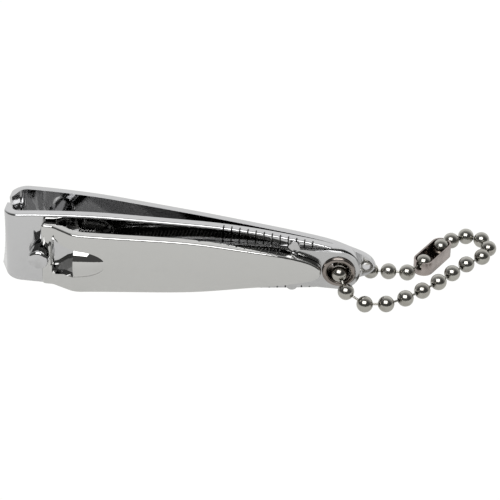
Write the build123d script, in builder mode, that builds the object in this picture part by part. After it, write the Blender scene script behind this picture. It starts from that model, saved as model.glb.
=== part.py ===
"""Folding nail clipper lying on its long side edge, with its ball chain laid out on the table.

Part frame, in millimetres: X runs along the clipper from the blades (-X) to the tail (+X), Y runs
through its layers from the lever (-Y) to the outer arm (+Y), and Z is up from the table at Z = 0.
The clipper's own axes are measured from its eyelet: "along" grows to the tail, "across" grows up,
and "height" grows from the joint between the two arms to the lever.
"""

import os
from math import cos, radians, sin, tan

from build123d import *

os.makedirs("parts", exist_ok=True)

# Where the eyelet's centre stands in the part frame, and how far the tapered body dips to the tail.
EYELET_X = 13.446
EYELET_Y = -3.978
EYELET_Z = 4.655
DIP = 2.4

# Arms: two mirrored strips of plate that touch at the eyelet and spread to the blades.
ARM_THICKNESS = 1.2
ARM_BACK = 3.2
REAR_SPREAD = 1.0
FRONT_SPREAD = 4.8
REAR_LENGTH = 10.0
SPREAD_RADIUS = 150.0
STANCE_FRONT = 32.0
STANCE_BACK = 22.0
BLADE_BEND_START = 46.3
BLADE_BEND_RADIUS = 1.8
BLADE_BEND = 67.8
BLADE_OPENING = 1.5
BLADE_REACH = 2.9
GRIND_RADIUS = 33.6
GRIND_FRONT = 48.55
GRIND_OFFSET = 3.4
GROOVE_FIRST = 4.05
GROOVE_PITCH = 1.173
GROOVE_COUNT = 12
GROOVE_WIDTH = 0.2
GROOVE_DEPTH = 0.12

# Post: a round pin through both arms, with a notch that the lever's cross bar turns in.
POST_ALONG = -43.0
POST_RADIUS = 1.5
POST_HEAD_ROUNDING = 0.5
POST_TOP = 6.95
POST_FOOT_RADIUS = 2.5
POST_FOOT_THICKNESS = 0.8
NOTCH_HEIGHT = 1.5
UPPER_HOLE_RADIUS = 1.85
LOWER_HOLE_RADIUS = 1.56

# Lever: a leaf of plate whose cross bar sits in the notch.
LEVER_THICKNESS = 1.1
LEVER_FRONT = -42.85
LEVER_TIP = -2.5
BAR_ALONG = -41.97
BAR_WIDTH = 1.35
BAR_HEIGHT = 4.69
BAR_ROUNDING = 0.5
PLATE_ROUNDING = 0.3
RISE_ANGLE = 25.0
RISE_LENGTH = 2.47
FALL_ANGLE = 6.4
SLOT_BACK = -37.72
SLOT_HALF_WIDTH = 2.4
SLOT_FRONT_HALF_WIDTH = 2.95
BOSS_LENGTH = 4.75
BOSS_HALF_WIDTH = 2.4
BOSS_HEIGHT = 0.95
BOSS_SKIN = 0.6

# Nail file: a thin plate between the upper arm and the lever, turning on the eyelet.
FILE_THICKNESS = 0.6
FILE_BASE = ARM_THICKNESS + 0.15
FILE_TOP = FILE_BASE + FILE_THICKNESS
FILE_TIP = -34.0
FILE_HALF_WIDTH = 3.1
EAR_ALONG = -6.9
EAR_HALF_SPAN = 4.05
DIMPLE_ACROSS = 1.95
DIMPLE_HEIGHT = 0.14

# Eyelet: a hollow rivet through the arms and the file.
EYELET_BACK = ARM_THICKNESS + 0.06
EYELET_BORE = 1.65
EYELET_TUBE = 1.93
EYELET_RIM = 2.45
RIM_THICKNESS = 0.36

# Ball chain.
BEAD_RADIUS = 1.2
BEAD_WALL = 0.2
BEAD_HOLE_RADIUS = 0.34
ROD_RADIUS = 0.17
KNOB_RADIUS = 0.26
KNOB_DEPTH = 0.45
CLASP_WALL = 0.25
CLASP_HEIGHT = 2.1

lean = (cos(radians(DIP)), 0, -sin(radians(DIP)))
eyelet_centre = (EYELET_X, EYELET_Y, EYELET_Z)

# Sketches seen from the lever's side: x is along, y is across, and the normal is height.
face = Plane(origin=eyelet_centre, x_dir=lean, z_dir=(0, -1, 0))
# Sketches of the side profile: x is along, y is height, and the normal is down across the plates.
side = Plane(origin=eyelet_centre, x_dir=lean, z_dir=(-sin(radians(DIP)), 0, -cos(radians(DIP))))


# The arms' long edges are straight over the stance, where the clipper stands on the table.
stance_front = (EYELET_Z + STANCE_FRONT * sin(radians(DIP))) / cos(radians(DIP))
stance_back = (EYELET_Z + STANCE_BACK * sin(radians(DIP))) / cos(radians(DIP))


def station(shape):
    """How far a face or edge lies along and across the clipper from its eyelet."""
    offset = shape.center() - Vector(*eyelet_centre)
    along = offset.X * cos(radians(DIP)) - offset.Z * sin(radians(DIP))
    across = offset.X * sin(radians(DIP)) + offset.Z * cos(radians(DIP))
    return along, across


def plate_rim(piece, outward, front, back):
    """The long edges of a plate's outer side, from front to back, which stamping leaves rounded."""
    outer = piece.faces().filter_by(lambda found: found.normal_at(found.center()).Y * outward > 0.6)
    rim = outer.edges().filter_by(lambda found: abs(station(found)[1]) > 1.3)
    return rim.filter_by(lambda found: front < station(found)[0] < back)


def save(piece, name):
    """Labels one finished piece and writes its STEP file."""
    piece.part.label = name
    export_step(piece.part, f"parts/{name}.step")


# ---------------------------------------------------------------------------------------- arms
def arm_profile(direction):
    """Side profile of one arm as a bent strip; direction is 1 toward the lever and -1 away."""
    middle = ARM_THICKNESS / 2
    with BuildLine() as path:
        back = Line((8, direction * middle), (0.2, direction * middle))
        kick = JernArc(back @ 1, (-1, 0), 20, -direction * REAR_SPREAD)
        rear = Line(kick @ 1, kick @ 1 + (kick % 1) * REAR_LENGTH)
        turn = FRONT_SPREAD - REAR_SPREAD
        spread = JernArc(rear @ 1, rear % 1, SPREAD_RADIUS, -direction * turn)
        front_run = (BLADE_BEND_START + (spread @ 1).X) / cos(radians(FRONT_SPREAD))
        front = Line(spread @ 1, spread @ 1 + (spread % 1) * front_run)
        bend = JernArc(front @ 1, front % 1, BLADE_BEND_RADIUS, direction * BLADE_BEND)
        Line(bend @ 1, bend @ 1 + (bend % 1) * BLADE_REACH)
    return path


def arm_outline(back_shape):
    """Plan outline of one arm; back_shape adds the tail, above the centre line only."""
    with BuildLine() as outline:
        Line((-51, 0), (-51, 5.0))
        Line((-51, 5.0), (-50.5, 5.05))
        Spline(
            (-50.5, 5.05),
            (-46.2, 5.75),
            (-39, 6.07),
            (-STANCE_FRONT, stance_front),
            tangents=((1, 0.35), (1, -tan(radians(DIP)))),
        )
        Line((-STANCE_FRONT, stance_front), (-STANCE_BACK, stance_back))
        Spline(
            (-STANCE_BACK, stance_back),
            (-14, 5.05),
            (-7, 4.3),
            (-1.2, 3.4),
            tangents=((1, -tan(radians(DIP))), (1, -0.22)),
        )
        back_shape()
        mirror(about=Plane.XZ)
    return outline


def round_tail():
    """Tail of the upper arm: a half round about the eyelet."""
    ThreePointArc((-1.2, 3.4), (1.95, 2.5), (ARM_BACK, 0))


def pointed_tail():
    """Tail of the lower arm: an ogive that runs on behind the upper arm."""
    Spline((-1.2, 3.4), (1.4, 2.55), (5.2, 0), tangents=((1, -0.22), (0.35, -1)))


def build_arm(direction, back_shape):
    """One arm: its bent strip, cut to the plan outline, with the blade ground to an edge."""
    path = arm_profile(direction)
    outline = arm_outline(back_shape)
    with BuildPart() as arm:
        with BuildSketch(side):
            trace(path.line, line_width=ARM_THICKNESS)
        extrude(amount=7, both=True)
        with BuildSketch(face):
            make_face(outline.edges())
        extrude(amount=12, both=True, mode=Mode.INTERSECT)
        fillet(plate_rim(arm, -direction, -BLADE_BEND_START, -1.5), PLATE_ROUNDING)
        # The two cutting edges face each other across the opening.
        opening = BLADE_OPENING / 2
        with BuildSketch(side):
            with Locations((-46.5, direction * (opening - 3))):
                Rectangle(10, 6)
        extrude(amount=8, both=True, mode=Mode.SUBTRACT)
        # A large round wheel grinds the front of both blades hollow, a little more on one side.
        with BuildSketch(face):
            with Locations((-GRIND_FRONT - GRIND_RADIUS, GRIND_OFFSET)):
                Circle(GRIND_RADIUS)
        extrude(amount=12, both=True, mode=Mode.SUBTRACT)
    return arm


with BuildPart() as upper_arm:
    add(build_arm(1, round_tail).part)
    with BuildSketch(face):
        Circle(EYELET_TUBE + 0.12)
        with Locations((POST_ALONG, 0)):
            Circle(UPPER_HOLE_RADIUS)
    extrude(amount=12, both=True, mode=Mode.SUBTRACT)
    # Cross grooves on the outer side, square to the arm's length.
    for number in range(GROOVE_COUNT):
        along = -GROOVE_FIRST - number * GROOVE_PITCH
        surface = ARM_THICKNESS + 0.0175 * -along
        if -along > REAR_LENGTH:
            surface += (-along - REAR_LENGTH) ** 2 / (2 * SPREAD_RADIUS)
        with BuildSketch(side):
            with Locations((along, surface)):
                Rectangle(GROOVE_WIDTH, 2 * GROOVE_DEPTH)
        extrude(amount=8, both=True, mode=Mode.SUBTRACT)

with BuildPart() as lower_arm:
    add(build_arm(-1, pointed_tail).part)
    with BuildSketch(face):
        Circle(EYELET_TUBE)
        with Locations((POST_ALONG, 0)):
            Circle(LOWER_HOLE_RADIUS)
        with Locations((3.9, 0)):
            Circle(0.6)
    extrude(amount=12, both=True, mode=Mode.SUBTRACT)

# ---------------------------------------------------------------------------------------- post
foot_base = -ARM_THICKNESS - 2.6 - 0.28 - POST_FOOT_THICKNESS
with BuildPart() as post:
    with BuildSketch(face.offset(foot_base)):
        with Locations((POST_ALONG, 0)):
            Circle(POST_FOOT_RADIUS)
    extrude(amount=POST_FOOT_THICKNESS)
    fillet(post.edges().sort_by(Axis.Y)[-1], 0.45)
    with BuildSketch(face.offset(foot_base + POST_FOOT_THICKNESS / 2)):
        with Locations((POST_ALONG, 0)):
            Circle(POST_RADIUS)
    extrude(amount=POST_TOP - foot_base - POST_FOOT_THICKNESS / 2)
    fillet(post.edges().sort_by(Axis.Y)[0], POST_HEAD_ROUNDING)
    with BuildSketch(side):
        with Locations((POST_ALONG + 1.05, BAR_HEIGHT)):
            Rectangle(2, NOTCH_HEIGHT)
    extrude(amount=4, both=True, mode=Mode.SUBTRACT)

# --------------------------------------------------------------------------------------- lever
with BuildLine() as lever_path:
    bar = Line((LEVER_FRONT, BAR_HEIGHT), (BAR_ALONG + 0.45, BAR_HEIGHT))
    lift = JernArc(bar @ 1, (1, 0), 2, RISE_ANGLE)
    rise = Line(lift @ 1, lift @ 1 + (lift % 1) * RISE_LENGTH)
    crest = JernArc(rise @ 1, rise % 1, 3, -RISE_ANGLE - FALL_ANGLE)
    fall_run = (-7.0 - (crest @ 1).X) / cos(radians(FALL_ANGLE))
    fall = Line(crest @ 1, crest @ 1 + (crest % 1) * fall_run)
    settle = JernArc(fall @ 1, fall % 1, 30, FALL_ANGLE)
    Line(settle @ 1, settle @ 1 + Vector(3, 0))

with BuildLine() as lever_outline:
    Line((LEVER_FRONT, 0), (LEVER_FRONT, 4.6))
    ThreePointArc((LEVER_FRONT, 4.6), (LEVER_FRONT + 0.15, 4.95), (LEVER_FRONT + 0.5, 5.1))
    Spline(
        (LEVER_FRONT + 0.5, 5.1),
        (-36, 4.87),
        (-28, 4.6),
        (-19.7, 4.15),
        (-12.6, 3.2),
        (-5.5, 2.02),
        (LEVER_TIP, 0),
        tangents=((1, 0), (0, -1)),
    )
    mirror(about=Plane.XZ)

# The boss stands on the lever's outer face, which falls to the tail behind the crest.
boss_height = (crest @ 1).Y - (SLOT_BACK - (crest @ 1).X) * sin(radians(FALL_ANGLE))
boss_plane = Plane(
    origin=side.from_local_coords((SLOT_BACK, boss_height, 0)),
    x_dir=side.from_local_coords((cos(radians(FALL_ANGLE)), -sin(radians(FALL_ANGLE)), 0)) - side.origin,
    z_dir=side.from_local_coords((sin(radians(FALL_ANGLE)), cos(radians(FALL_ANGLE)), 0)) - side.origin,
)
boss_crown = BOSS_HEIGHT + LEVER_THICKNESS / 2
ball = Sphere(1)
boss_outside = scale(ball, by=(BOSS_LENGTH, BOSS_HALF_WIDTH, boss_crown))
boss_inside = scale(
    ball,
    by=(BOSS_LENGTH - BOSS_SKIN, BOSS_HALF_WIDTH - 0.45, boss_crown + LEVER_THICKNESS / 2 - BOSS_SKIN),
)

# Only the quarter of the ellipsoid above the plate and behind the slot stands up as the boss.
with BuildPart() as boss:
    with Locations(boss_plane):
        add(boss_outside)
    split(bisect_by=boss_plane, keep=Keep.TOP)
    split(bisect_by=Plane(origin=boss_plane.origin, z_dir=lean), keep=Keep.TOP)

with BuildPart() as lever:
    with BuildSketch(side):
        trace(lever_path.line, line_width=LEVER_THICKNESS)
    extrude(amount=7, both=True)
    with BuildSketch(face):
        make_face(lever_outline.edges())
    extrude(amount=12, both=True, mode=Mode.INTERSECT)
    fillet(plate_rim(lever, -1, LEVER_FRONT, LEVER_TIP), PLATE_ROUNDING)
    # The front end is rounded so that it clears the arm as the lever turns over.
    with BuildSketch(side):
        with Locations((LEVER_FRONT, BAR_HEIGHT)):
            Rectangle(2 * BAR_ROUNDING, LEVER_THICKNESS + 0.2)
        with Locations((LEVER_FRONT + 1.5, BAR_HEIGHT)):
            RectangleRounded(3, LEVER_THICKNESS, BAR_ROUNDING, mode=Mode.SUBTRACT)
    extrude(amount=7, both=True, mode=Mode.SUBTRACT)
    add(boss.part)
    with Locations(boss_plane.offset(-LEVER_THICKNESS / 2)):
        add(boss_inside, mode=Mode.SUBTRACT)
    # The opening lets the post's head through when the lever turns over.
    slot_front = BAR_ALONG + BAR_WIDTH / 2
    with BuildSketch(face):
        with BuildLine():
            Polyline(
                (SLOT_BACK, 0),
                (SLOT_BACK, SLOT_HALF_WIDTH),
                (-39.4, SLOT_HALF_WIDTH),
                (-40.7, SLOT_FRONT_HALF_WIDTH),
                (slot_front, SLOT_FRONT_HALF_WIDTH),
                (slot_front, 0),
            )
            mirror(about=Plane.XZ)
        make_face()
        with Locations((LEVER_FRONT, 0)):
            Rectangle(2 * (slot_front - LEVER_FRONT), 2 * (POST_RADIUS + 0.15))
    extrude(amount=12, both=True, mode=Mode.SUBTRACT)
    # The cross bar is rounded so that it can turn in the notch.
    with BuildSketch(side):
        with Locations((BAR_ALONG, BAR_HEIGHT)):
            RectangleRounded(BAR_WIDTH, LEVER_THICKNESS, BAR_ROUNDING)
    extrude(amount=SLOT_FRONT_HALF_WIDTH, both=True)

# ----------------------------------------------------------------------------------- nail file
with BuildLine() as file_outline:
    ThreePointArc((3.1, 0), (2.19, 2.19), (0, FILE_HALF_WIDTH))
    Line((0, FILE_HALF_WIDTH), (EAR_ALONG + 1.1, FILE_HALF_WIDTH))
    ThreePointArc(
        (EAR_ALONG + 1.1, FILE_HALF_WIDTH),
        (EAR_ALONG + 0.3, EAR_HALF_SPAN),
        (EAR_ALONG - 0.6, FILE_HALF_WIDTH),
    )
    Line((EAR_ALONG - 0.6, FILE_HALF_WIDTH), (-20, FILE_HALF_WIDTH))
    Spline(
        (-20, FILE_HALF_WIDTH),
        (-28, 2.6),
        (FILE_TIP, 0),
        tangents=((-1, 0), (-0.35, -1)),
    )
    mirror(about=Plane.XZ)

# The blade is set upward by the arm's own spread, so that it lies along the arm when folded.
file_middle = FILE_BASE + FILE_THICKNESS / 2
with BuildLine() as file_path:
    tang = Line((5, file_middle), (EAR_ALONG, file_middle))
    rear_set = JernArc(tang @ 1, (-1, 0), 120, -FRONT_SPREAD)
    Line(rear_set @ 1, rear_set @ 1 + (rear_set % 1) * 25)

with BuildPart() as nail_file:
    with BuildSketch(side):
        trace(file_path.line, line_width=FILE_THICKNESS)
    extrude(amount=7, both=True)
    with BuildSketch(face):
        make_face(file_outline.edges())
        Circle(EYELET_TUBE + 0.06, mode=Mode.SUBTRACT)
    extrude(amount=12, mode=Mode.INTERSECT)
    # Two pressed dimples hold the folded file under the lever.
    for across in (-DIMPLE_ACROSS, DIMPLE_ACROSS):
        with BuildSketch(face.offset(file_middle)):
            with Locations((EAR_ALONG + 0.2, across)):
                Circle(0.6)
        extrude(amount=FILE_THICKNESS / 2 + DIMPLE_HEIGHT)
    fillet(nail_file.edges().filter_by(GeomType.CIRCLE).sort_by(Axis.Y)[0:2], DIMPLE_HEIGHT * 0.9)

# -------------------------------------------------------------------------------------- eyelet
with BuildPart() as eyelet:
    rim_base = FILE_TOP + 0.05
    rim_top = rim_base + RIM_THICKNESS
    with BuildSketch(side):
        with BuildLine():
            Polyline(
                (EYELET_BORE, -EYELET_BACK - 0.2),
                (EYELET_BORE, rim_top - 0.3),
            )
            ThreePointArc(
                (EYELET_BORE, rim_top - 0.3),
                (EYELET_BORE + 0.12, rim_top - 0.08),
                (EYELET_BORE + 0.35, rim_top),
            )
            ThreePointArc(
                (EYELET_BORE + 0.35, rim_top),
                (EYELET_RIM - 0.1, rim_top - 0.1),
                (EYELET_RIM, rim_base),
            )
            Polyline(
                (EYELET_RIM, rim_base),
                (EYELET_TUBE, rim_base),
                (EYELET_TUBE, -EYELET_BACK),
                (EYELET_RIM, -EYELET_BACK),
            )
            ThreePointArc(
                (EYELET_RIM, -EYELET_BACK),
                (EYELET_RIM - 0.1, -EYELET_BACK - RIM_THICKNESS + 0.1),
                (EYELET_BORE + 0.35, -EYELET_BACK - RIM_THICKNESS),
            )
            ThreePointArc(
                (EYELET_BORE + 0.35, -EYELET_BACK - RIM_THICKNESS),
                (EYELET_BORE + 0.1, -EYELET_BACK - RIM_THICKNESS + 0.06),
                (EYELET_BORE, -EYELET_BACK - 0.2),
            )
        make_face()
    revolve(axis=Axis(eyelet_centre, (0, 1, 0)))

for piece, name in (
    (upper_arm, "upper_arm"),
    (lower_arm, "lower_arm"),
    (post, "post"),
    (lever, "lever"),
    (nail_file, "nail_file"),
    (eyelet, "eyelet"),
):
    save(piece, name)

# ----------------------------------------------------------------------------------- ball chain
# Bead centres round the loop, from the eyelet's axis: X, Y, and height over the table.
bead_places = [
    (0.1, 1.0, 4.25),
    (0.1, -1.9, 4.25),
    (1.25, -4.0, 2.6),
    (4.05, -4.8, 1.2),
    (7.1, -4.4, 1.2),
    (9.8, -2.7, 1.2),
    (12.15, -0.5, 1.2),
    (14.45, 1.95, 1.2),
    (16.4, 4.45, 1.2),
    (18.45, 7.0, 1.2),
    (20.75, 9.25, 1.2),
    (21.7, 11.6, 1.2),
    (20.65, 13.85, 1.2),
    (18.3, 14.55, 1.2),
    (16.1, 13.15, 1.2),
    (14.6, 10.9, 1.45),
    (12.15, 6.5, 1.45),
    (9.8, 3.9, 1.2),
    (7.05, 3.9, 1.2),
    (4.4, 3.8, 1.2),
    (1.5, 3.4, 2.75),
]
beads = [Vector(EYELET_X + x, EYELET_Y + y, z) for x, y, z in bead_places]
# The clasp, and not a rod, joins the two end beads of the chain.
CLASP_FROM = 15
CLASP_TO = 16


def toward(start, end):
    """Unit vector from one point to another."""
    return (end - start).normalized()


for number, centre in enumerate(beads):
    neighbours = []
    if number != CLASP_FROM:
        neighbours.append(beads[(number + 1) % len(beads)])
    if number != CLASP_TO:
        neighbours.append(beads[number - 1])
    outlook = toward(centre, neighbours[0])
    with BuildPart() as bead:
        with Locations(Plane(origin=centre, x_dir=(0, 0, 1), z_dir=(outlook.X, outlook.Y, 0))):
            Sphere(BEAD_RADIUS)
            Sphere(BEAD_RADIUS - BEAD_WALL, mode=Mode.SUBTRACT)
        for neighbour in neighbours:
            with BuildSketch(Plane(origin=centre, z_dir=toward(centre, neighbour))):
                Circle(BEAD_HOLE_RADIUS)
            extrude(amount=BEAD_RADIUS + 0.5, mode=Mode.SUBTRACT)
    save(bead, f"bead_{number + 1:02d}")

link_number = 0
for number, start in enumerate(beads):
    end = beads[(number + 1) % len(beads)]
    if number == CLASP_FROM:
        continue
    link_number += 1
    heading = toward(start, end)
    first_knob = start + heading * KNOB_DEPTH
    last_knob = end - heading * KNOB_DEPTH
    with BuildPart() as link:
        with BuildSketch(Plane(origin=first_knob, z_dir=heading)):
            Circle(ROD_RADIUS)
        extrude(amount=(last_knob - first_knob).length)
        with Locations(Plane(origin=first_knob, z_dir=heading), Plane(origin=last_knob, z_dir=heading)):
            Sphere(KNOB_RADIUS)
    save(link, f"link_{link_number:02d}")

# Clasp: a folded trough that the two end beads snap into, open above, with a notch for each rod.
clasp_start = beads[CLASP_TO]
clasp_end = beads[CLASP_FROM]
clasp_middle = (clasp_start + clasp_end) / 2
clasp_axis = toward(clasp_start, clasp_end)
clasp_plane = Plane(
    origin=(clasp_middle.X, clasp_middle.Y, 0), x_dir=clasp_axis, z_dir=(0, 0, 1)
)
bead_span = (clasp_end - clasp_start).length
clasp_half_width = BEAD_RADIUS + 0.05 + CLASP_WALL
with BuildPart() as clasp:
    with BuildSketch(clasp_plane):
        SlotCenterToCenter(bead_span, 2 * clasp_half_width)
    extrude(amount=CLASP_HEIGHT)
    with BuildSketch(clasp_plane.offset(CLASP_WALL)):
        SlotCenterToCenter(bead_span, 2 * (clasp_half_width - CLASP_WALL))
    extrude(amount=CLASP_HEIGHT, mode=Mode.SUBTRACT)
    with BuildSketch(clasp_plane.offset(0.9)):
        Rectangle(bead_span + 6, 0.9)
    extrude(amount=CLASP_HEIGHT, mode=Mode.SUBTRACT)
save(clasp, "clasp")
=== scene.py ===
"""Folding nail clipper with its file and ball chain: looks, stage, light and camera."""

from math import cos, radians, sin, tan

import bpy
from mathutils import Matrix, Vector


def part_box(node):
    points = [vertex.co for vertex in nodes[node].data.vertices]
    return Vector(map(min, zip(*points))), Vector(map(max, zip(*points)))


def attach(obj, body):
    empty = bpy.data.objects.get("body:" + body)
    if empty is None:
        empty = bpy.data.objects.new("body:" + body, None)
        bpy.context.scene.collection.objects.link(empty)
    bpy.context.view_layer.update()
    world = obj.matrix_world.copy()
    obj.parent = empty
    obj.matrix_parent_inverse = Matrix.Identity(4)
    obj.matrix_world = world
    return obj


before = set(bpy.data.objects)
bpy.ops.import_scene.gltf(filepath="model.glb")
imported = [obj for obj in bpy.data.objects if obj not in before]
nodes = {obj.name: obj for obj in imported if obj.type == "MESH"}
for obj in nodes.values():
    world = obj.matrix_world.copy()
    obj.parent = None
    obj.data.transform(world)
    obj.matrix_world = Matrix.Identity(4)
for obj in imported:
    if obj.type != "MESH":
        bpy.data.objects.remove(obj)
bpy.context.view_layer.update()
MM = 0.001


def aim_at(item, target_mm):
    """Turns a camera or a light, which looks along its own -Z, to a point in millimetres."""
    ahead = Vector(target_mm) * MM - item.location
    item.rotation_euler = ahead.to_track_quat("-Z", "Y").to_euler()


# ------------------------------------------------------------------------------------ camera
camera_data = bpy.data.cameras.new("camera")
camera_data.lens = 123.55
camera_data.sensor_width = 36.0
camera_data.clip_start = 0.01
camera_data.clip_end = 10.0
camera = bpy.data.objects.new("camera", camera_data)
bpy.context.scene.collection.objects.link(camera)
camera.location = Vector((23.76, -209.21, 145.39)) * MM
aim_at(camera, (-0.64, 4.95, 0.0))
bpy.context.scene.camera = camera


# ---------------------------------------------------------------------------- clipper's axes
DIP = radians(2.4)  # how far the clipper's own axis drops toward its tail
RIM_TOP = 2.36  # front of the eyelet's rim, in mm above the plane where the arms meet
eyelet_low, eyelet_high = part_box("eyelet")
eyelet_x = (eyelet_low[0] + eyelet_high[0]) / 2
eyelet_z = (eyelet_low[2] + eyelet_high[2]) / 2


def on_clipper(along, across, height):
    """A point by the clipper's own axes, in millimetres from its eyelet and the arms' plane."""
    x = eyelet_x + (along * cos(DIP) + across * sin(DIP)) * MM
    y = eyelet_low[1] + (RIM_TOP - height) * MM
    z = eyelet_z + (across * cos(DIP) - along * sin(DIP)) * MM
    return Vector((x, y, z))


# --------------------------------------------------------------------------------- materials
# Noise scales of the plate, in features per metre.
PATCH_SCALE = 260
SMEAR_SCALE = 420
RIPPLE_SCALE = 150
LINE_SCALE = 700
PATCH_ROUGHNESS = 0.62
STAIN_FULL_AT = 0.78

# The upper arm's cross grooves, as the CAD cuts them, in mm from the eyelet.
GROOVE_FIRST = 4.05
GROOVE_PITCH = 1.173
GROOVE_COUNT = 12

# Painted shade in the grooves: a dark colour standing in for the shadow inside them, sized in mm.
# It ends at a floor above the arms' plane, which rises forward with the outer face. The margin
# past the first and last groove is in pitches.
GROOVE_SHADE_HALF_WIDTH = 0.1
GROOVE_SHADE_MARGIN = 0.3
GROOVE_SHADE_FLOOR = 0.62
GROOVE_SHADE_FLOOR_RISE = 0.0175


def new_material(name):
    """A node material with only a Principled shader on its output: material, tree, shader."""
    material = bpy.data.materials.new(name)
    material.use_nodes = True
    tree = material.node_tree
    tree.nodes.clear()
    output = tree.nodes.new("ShaderNodeOutputMaterial")
    shader = tree.nodes.new("ShaderNodeBsdfPrincipled")
    tree.links.new(shader.outputs["BSDF"], output.inputs["Surface"])
    return material, tree, shader


def find_node(tree, kind):
    """The first node of a kind in a tree."""
    return next(node for node in tree.nodes if node.bl_idname == kind)


def noise(tree, place, scale, stretch=(1, 1, 1), detail=3.0, rough=0.5):
    """Noise over the object, scale in features per metre, stretched along the axes."""
    mapping = tree.nodes.new("ShaderNodeMapping")
    mapping.inputs["Scale"].default_value = stretch
    texture = tree.nodes.new("ShaderNodeTexNoise")
    texture.inputs["Scale"].default_value = scale
    texture.inputs["Detail"].default_value = detail
    texture.inputs["Roughness"].default_value = rough
    tree.links.new(place.outputs["Object"], mapping.inputs["Vector"])
    tree.links.new(mapping.outputs["Vector"], texture.inputs["Vector"])
    return texture.outputs["Fac"]


def ramp(tree, source, low, high, low_at=0.3, high_at=0.7):
    """Maps a source onto low to high, as it goes from low_at to high_at."""
    node = tree.nodes.new("ShaderNodeMapRange")
    node.inputs["From Min"].default_value = low_at
    node.inputs["From Max"].default_value = high_at
    node.inputs["To Min"].default_value = low
    node.inputs["To Max"].default_value = high
    tree.links.new(source, node.inputs["Value"])
    return node.outputs["Result"]


def cover(tree, base, colour, amount):
    """Lays a colour over a base, which is a colour or a socket, by an amount from 0 to 1."""
    node = tree.nodes.new("ShaderNodeMix")
    node.data_type = "RGBA"
    if isinstance(base, tuple):
        node.inputs["A"].default_value = (*base, 1.0)
    else:
        tree.links.new(base, node.inputs["A"])
    node.inputs["B"].default_value = (*colour, 1.0)
    tree.links.new(amount, node.inputs["Factor"])
    return node.outputs["Result"]


def bump(tree, height, distance, under=None):
    """A bump of a distance in millimetres, laid over another one if it is given."""
    node = tree.nodes.new("ShaderNodeBump")
    node.inputs["Strength"].default_value = 1.0
    node.inputs["Distance"].default_value = distance * MM
    tree.links.new(height, node.inputs["Height"])
    if under is not None:
        tree.links.new(under, node.inputs["Normal"])
    return node.outputs["Normal"]


def plated(
    name, colour, stain, rough=(0.03, 0.09), wave=0.012, scratch=0.0003, stain_from=0.55
):
    """Nickel or chrome plate over steel, with a faint ripple, polishing lines and light stains."""
    material, tree, shader = new_material(name)
    place = tree.nodes.new("ShaderNodeTexCoord")
    shader.inputs["Metallic"].default_value = 1.0

    patches = noise(tree, place, PATCH_SCALE, detail=5.0, rough=PATCH_ROUGHNESS)
    stained = ramp(tree, patches, 0.0, 1.0, stain_from, STAIN_FULL_AT)
    tree.links.new(cover(tree, colour, stain, stained), shader.inputs["Base Color"])

    smear = noise(tree, place, SMEAR_SCALE, stretch=(0.35, 1, 1), detail=4.0)
    tree.links.new(ramp(tree, smear, *rough), shader.inputs["Roughness"])

    ripple = bump(tree, noise(tree, place, RIPPLE_SCALE, detail=1.0), wave)
    lines = noise(tree, place, LINE_SCALE, stretch=(0.12, 6, 6), detail=2.0)
    tree.links.new(bump(tree, lines, scratch, under=ripple), shader.inputs["Normal"])
    return material


def painted_groove_shade(material, colour):
    """Painted shade in the arm's cross grooves, which stand at an even pitch from the eyelet."""
    tree = material.node_tree
    place = find_node(tree, "ShaderNodeTexCoord").outputs["Object"]
    base = find_node(tree, "ShaderNodeBsdfPrincipled").inputs["Base Color"]

    def measure(direction):
        """The dot product of a place on the object with a direction."""
        node = tree.nodes.new("ShaderNodeVectorMath")
        node.operation = "DOT_PRODUCT"
        node.inputs[1].default_value = direction
        tree.links.new(place, node.inputs[0])
        return node.outputs["Value"]

    def calc(operation, value, other):
        """One Math node, on a socket and another socket or a number."""
        node = tree.nodes.new("ShaderNodeMath")
        node.operation = operation
        tree.links.new(value, node.inputs[0])
        if isinstance(other, float):
            node.inputs[1].default_value = other
        else:
            tree.links.new(other, node.inputs[1])
        return node.outputs["Value"]

    # Grooves are counted from 0 at the eyelet's end, so each one lies at a whole number.
    forward = Vector((-cos(DIP), 0.0, sin(DIP))) / (GROOVE_PITCH * MM)
    start = forward.dot(on_clipper(-GROOVE_FIRST, 0, 0))
    number = calc("SUBTRACT", measure(forward), start)
    groove = calc("LESS_THAN", calc("PINGPONG", number, 0.5), GROOVE_SHADE_HALF_WIDTH / GROOVE_PITCH)
    past_first = calc("GREATER_THAN", number, -GROOVE_SHADE_MARGIN)
    before_last = calc("LESS_THAN", number, GROOVE_COUNT - 1 + GROOVE_SHADE_MARGIN)

    toward_front = measure((0.0, -1 / MM, 0.0))
    floor = -eyelet_low[1] / MM - RIM_TOP + GROOVE_SHADE_FLOOR
    rise = calc("MULTIPLY", number, GROOVE_SHADE_FLOOR_RISE * GROOVE_PITCH)
    above_floor = calc("GREATER_THAN", calc("SUBTRACT", toward_front, floor), rise)

    inside = calc("MULTIPLY", calc("MULTIPLY", past_first, before_last), above_floor)
    # The groove mask lays a near-black painted shade over the plate's colour.
    groove_shade = calc("MULTIPLY", groove, inside)
    tree.links.new(cover(tree, base.links[0].from_socket, colour, groove_shade), base)


ARM_COLOURS = (0.555, 0.555, 0.56), (0.53, 0.53, 0.53)
arm_plate = plated("arm_plate", *ARM_COLOURS)
lever_plate = plated("lever_plate", (0.55, 0.548, 0.535), (0.53, 0.528, 0.515), wave=0.008)
grooved_plate = plated("grooved_plate", *ARM_COLOURS)
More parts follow.
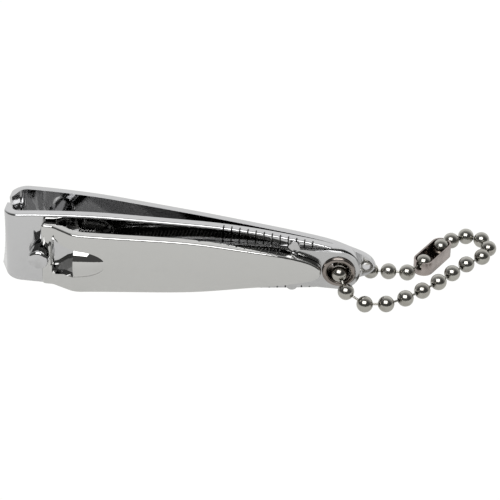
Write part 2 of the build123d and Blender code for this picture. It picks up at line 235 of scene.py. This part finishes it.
# Near-black painted shade in the upper arm's grooves.
painted_groove_shade(grooved_plate, (0.05, 0.05, 0.048))
post_steel = plated("post_steel", (0.55, 0.55, 0.555), (0.42, 0.42, 0.42), wave=0.03)
file_steel = plated("file_steel", (0.50, 0.50, 0.50), (0.45, 0.45, 0.45), rough=(0.10, 0.22))
file_cut = plated("file_cut", (0.30, 0.30, 0.295), (0.24, 0.24, 0.235), rough=(0.28, 0.45))
eyelet_nickel = plated(
    "eyelet_nickel", (0.27, 0.24, 0.22), (0.14, 0.12, 0.10), rough=(0.10, 0.24)
)
chain_nickel = plated(
    "chain_nickel",
    (0.43, 0.42, 0.385),
    (0.27, 0.25, 0.22),
    rough=(0.12, 0.24),
    wave=0.03,
    stain_from=0.48,
)
clasp_nickel = plated(
    "clasp_nickel",
    (0.40, 0.355, 0.335),
    (0.10, 0.085, 0.075),
    rough=(0.18, 0.36),
    wave=0.05,
    stain_from=0.40,
)

FINISHES = {
    "upper_arm": grooved_plate,
    "lower_arm": arm_plate,
    "lever": lever_plate,
    "post": post_steel,
    "nail_file": file_steel,
    "eyelet": eyelet_nickel,
    "clasp": clasp_nickel,
}
for name, node in nodes.items():
    node.data.materials.clear()
    node.data.materials.append(FINISHES.get(name, chain_nickel))


# ------------------------------------------------------------------------------ file's cut
# The file's outer face by the clipper's axes, in mm: level, then an arc, then straight.
FILE_TOP = 1.95
FILE_SET_FROM = -6.9
FILE_SET = radians(4.8)
FILE_SET_RADIUS = 119.7

# The teeth, in mm. Each row is a ridge sunk a little into the face.
TOOTH_ROWS = 44
TOOTH_PITCH = 0.5
TOOTH_HEIGHT = 0.06
TOOTH_SINK = 0.02
TOOTH_HALF_BASE = 0.14
TOOTH_SLANT = 0.35
CUT_FROM = -9.6
CUT_HALF_WIDTH = 2.7
CUT_TAPER_FROM = -20.0
CUT_TAPER_LENGTH = 14.0


def file_face(along):
    """Height of the file's outer face, which is level, then curves up, then runs straight."""
    back = max(FILE_SET_FROM - along, 0.0)
    curve = FILE_SET_RADIUS * sin(FILE_SET)
    if back < curve:
        return FILE_TOP + back**2 / (2 * FILE_SET_RADIUS)
    return FILE_TOP + FILE_SET_RADIUS * (1 - cos(FILE_SET)) + (back - curve) * tan(FILE_SET)


def file_teeth():
    """Slanting rows of teeth raised on the file's outer face, short of its edges."""
    profile = (
        (-TOOTH_HALF_BASE, -TOOTH_SINK),
        (0.0, TOOTH_HEIGHT),
        (TOOTH_HALF_BASE, -TOOTH_SINK),
    )
    verts, faces = [], []
    for row in range(TOOTH_ROWS):
        along = CUT_FROM - row * TOOTH_PITCH
        taper = max((CUT_TAPER_FROM - along) / CUT_TAPER_LENGTH, 0.0)
        half = CUT_HALF_WIDTH * (1 - taper**2)
        first = len(verts)
        for across in (-half, half):
            middle = along + TOOTH_SLANT * across
            for shift, rise in profile:
                verts.append(on_clipper(middle + shift, across, file_face(middle) + rise))
        a, b, c, d, e, f = range(first, first + 6)
        faces += [(a, b, e, d), (b, c, f, e), (c, a, d, f), (a, c, b), (d, e, f)]
    mesh = bpy.data.meshes.new("file_teeth")
    mesh.from_pydata(verts, [], faces)
    mesh.materials.append(file_cut)
    teeth = bpy.data.objects.new("file_teeth", mesh)
    bpy.context.scene.collection.objects.link(teeth)
    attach(teeth, "nail_file")


file_teeth()


# ------------------------------------------------------------------------------ rounded edges
WELD_DISTANCE = 0.000001
SHARP_ANGLE = 0.6
EDGE_WIDTHS = {  # in mm
    "upper_arm": 0.12,
    "lower_arm": 0.12,
    "lever": 0.16,
    "nail_file": 0.08,
    "clasp": 0.11,
}


def round_edges(node, width):
    """Rolls the sharp edges of a stamped piece over, as tumbling and plating leave them."""
    weld = node.modifiers.new("weld", "WELD")
    weld.merge_threshold = WELD_DISTANCE
    bevel = node.modifiers.new("rounding", "BEVEL")
    bevel.width = width * MM
    bevel.segments = 3
    bevel.limit_method = "ANGLE"
    bevel.angle_limit = SHARP_ANGLE
    bevel.use_clamp_overlap = True
    normals = node.modifiers.new("normals", "WEIGHTED_NORMAL")
    normals.keep_sharp = False
    normals.weight = 80


for name, width in EDGE_WIDTHS.items():
    round_edges(nodes[name], width)


# ------------------------------------------------------------------------------ stage and light
# The table's outline, in metres.
TABLE_SIDE = 1.2
TABLE_FRONT = -0.5
TABLE_BACK = 1.6


def quad(name, corners):
    """A four-cornered sheet that belongs to the stage."""
    mesh = bpy.data.meshes.new(name)
    mesh.from_pydata(corners, [], [(0, 1, 2, 3)])
    item = bpy.data.objects.new(name, mesh)
    bpy.context.scene.collection.objects.link(item)
    return item


table = quad(
    "table",
    [
        (-TABLE_SIDE, TABLE_FRONT, 0),
        (TABLE_SIDE, TABLE_FRONT, 0),
        (TABLE_SIDE, TABLE_BACK, 0),
        (-TABLE_SIDE, TABLE_BACK, 0),
    ],
)
# A light table: seen directly it is all glow, burnt out to white, and reflected it is half glow
# and half lit paper.
table_white, tree, shader = new_material("table_white")
shader.inputs["Base Color"].default_value = (0.86, 0.86, 0.85, 1.0)
shader.inputs["Roughness"].default_value = 0.8
shader.inputs["Specular IOR Level"].default_value = 0.0
glow = tree.nodes.new("ShaderNodeEmission")
glow.inputs["Color"].default_value = (1.0, 1.0, 0.99, 1.0)
glow.inputs["Strength"].default_value = 1.03
seen = tree.nodes.new("ShaderNodeLightPath")
share = ramp(tree, seen.outputs["Is Camera Ray"], 0.5, 1.0, 0.0, 1.0)
mixer = tree.nodes.new("ShaderNodeMixShader")
output = find_node(tree, "ShaderNodeOutputMaterial")
tree.links.new(share, mixer.inputs[0])
tree.links.new(shader.outputs["BSDF"], mixer.inputs[1])
tree.links.new(glow.outputs["Emission"], mixer.inputs[2])
tree.links.new(mixer.outputs[0], output.inputs["Surface"])
table.data.materials.append(table_white)


def softbox(name, place_mm, aim_mm, size_mm, watts):
    """A rectangular area light, placed and aimed in millimetres."""
    light = bpy.data.lights.new(name, "AREA")
    light.shape = "RECTANGLE"
    light.size = size_mm[0] * MM
    light.size_y = size_mm[1] * MM
    light.energy = watts
    item = bpy.data.objects.new(name, light)
    bpy.context.scene.collection.objects.link(item)
    item.location = Vector(place_mm) * MM
    aim_at(item, aim_mm)


softbox(
    "key_box", place_mm=(-20, -165, 275), aim_mm=(0, 0, 0), size_mm=(270, 210), watts=0.72
)

# The room round the table: a pale wall behind it, dim overhead and dark toward the camera.
world = bpy.data.worlds.new("studio")
bpy.context.scene.world = world
world.use_nodes = True
sky = world.node_tree
sky.nodes.clear()
sky_out = sky.nodes.new("ShaderNodeOutputWorld")
background = sky.nodes.new("ShaderNodeBackground")
direction = sky.nodes.new("ShaderNodeTexCoord")
parts = sky.nodes.new("ShaderNodeSeparateXYZ")
rear = sky.nodes.new("ShaderNodeValToRGB")
rear.color_ramp.interpolation = "EASE"
stops = rear.color_ramp.elements
stops[0].position = 0.42
stops[0].color = (0.09, 0.09, 0.088, 1.0)
stops[1].position = 0.90
stops[1].color = (1.0, 1.0, 1.0, 1.0)
middle = stops.new(0.60)
middle.color = (0.32, 0.32, 0.32, 1.0)
sky.links.new(direction.outputs["Generated"], parts.inputs["Vector"])
sky.links.new(ramp(sky, parts.outputs["Y"], 0.0, 1.0, -1.0, 1.0), rear.inputs["Fac"])
sky.links.new(rear.outputs["Color"], background.inputs["Color"])
sky.links.new(background.outputs["Background"], sky_out.inputs["Surface"])

view = bpy.context.scene.view_settings
view.view_transform = "Standard"
view.look = "None"
